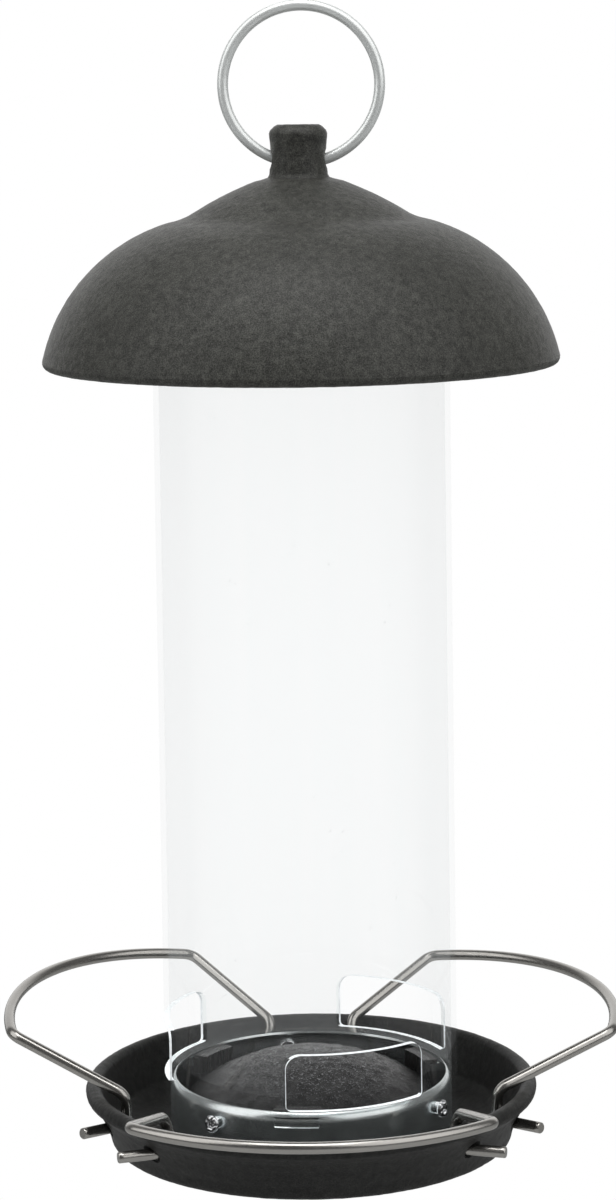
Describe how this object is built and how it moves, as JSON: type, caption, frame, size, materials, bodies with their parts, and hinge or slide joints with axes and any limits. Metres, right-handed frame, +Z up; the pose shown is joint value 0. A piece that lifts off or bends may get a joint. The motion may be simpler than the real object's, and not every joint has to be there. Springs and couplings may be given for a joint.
{
  "type": "hanging bird feeder",
  "caption": "Tube bird feeder that hangs from a ring: domed cast roof, clear seed tube with ports, cast seed tray and hinged wire perches.",
  "frame": {"origin": "centre of the seed tray's foot ring, on the plane it rests on", "axes": "+Z up along the seed tube, the front perch faces -Y, +X to the right seen from the front"},
  "size_m": [0.1699, 0.1662, 0.3158],
  "materials": {
    "cast_roof": "black textured powder coat on cast aluminium",
    "cast_tray": "black textured powder coat on cast aluminium",
    "zinc_ring": "bright zinc plate",
    "clear_tube": "clear polycarbonate extrusion",
    "galvanised_collar": "bright galvanised sheet",
    "rivets": "plain",
    "perch_wire": "satin stainless wire"
  },
  "bodies": {
    "tube": {"seed_tube": "clear_tube", "upper_collar": "galvanised_collar", "upper_rivets": "rivets", "lower_collar": "galvanised_collar", "lower_rivets": "rivets"},
    "roof": {"roof_canopy": "cast_roof"},
    "ring": {"hanging_ring": "zinc_ring"},
    "tray": {"seed_tray": "cast_tray"},
    "perch_front": {"front_perch": "perch_wire"},
    "perch_left": {"left_perch": "perch_wire"},
    "perch_right": {"right_perch": "perch_wire"}
  },
  "joints": [
    {"name": "roof_lift", "type": "slide", "parent": "tube", "child": "roof", "axis": [0, 0, 1], "range_m": [0, 0.09]},
    {"name": "ring_swing", "type": "hinge", "parent": "roof", "child": "ring", "pos_m": [0, 0, 0.2733], "axis": [1, 0, 0], "range_deg": [-100, 100]},
    {"name": "tray_twist", "type": "hinge", "parent": "tube", "child": "tray", "pos_m": [0, 0, 0], "axis": [0, 0, 1], "range_deg": [0, 24]},
    {"name": "front_perch_hinge", "type": "hinge", "parent": "tray", "child": "perch_front", "pos_m": [0, -0.0384, 0.0139], "axis": [-1, 0, 0], "range_deg": [-3, 52]},
    {"name": "left_perch_hinge", "type": "hinge", "parent": "tray", "child": "perch_left", "pos_m": [-0.03326, 0.0192, 0.0139], "axis": [0.5, 0.866, 0], "range_deg": [-13, 42]},
    {"name": "right_perch_hinge", "type": "hinge", "parent": "tray", "child": "perch_right", "pos_m": [0.03326, 0.0192, 0.0139], "axis": [0.5, -0.866, 0], "range_deg": [-10, 45]}
  ]
}
